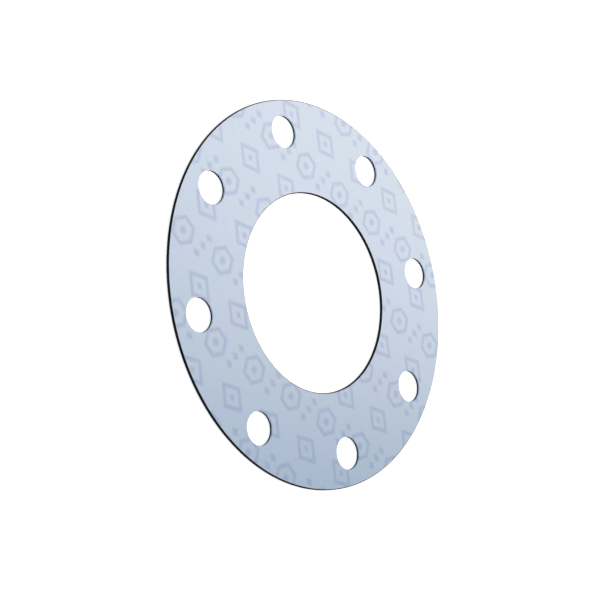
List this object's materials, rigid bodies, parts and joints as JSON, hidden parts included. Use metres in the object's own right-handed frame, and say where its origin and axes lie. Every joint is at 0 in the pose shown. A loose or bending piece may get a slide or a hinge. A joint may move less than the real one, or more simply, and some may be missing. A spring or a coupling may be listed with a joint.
{
  "type": "full face flange gasket",
  "caption": "Flat ring cut from sheet that seals the whole face of a pipe flange, its bolt holes inside the rim; pale blue faces, near-black cut edge.",
  "frame": {"origin": "centre of the bore on the underside", "axes": "+Z along the bore's axis, out of the printed face; the bolt holes straddle the X and Y axes"},
  "size_m": [0.2286, 0.2286, 0.0016],
  "materials": {
    "sheet": "satin"
  },
  "bodies": {
    "root": {"gasket": "sheet"}
  },
  "joints": []
}
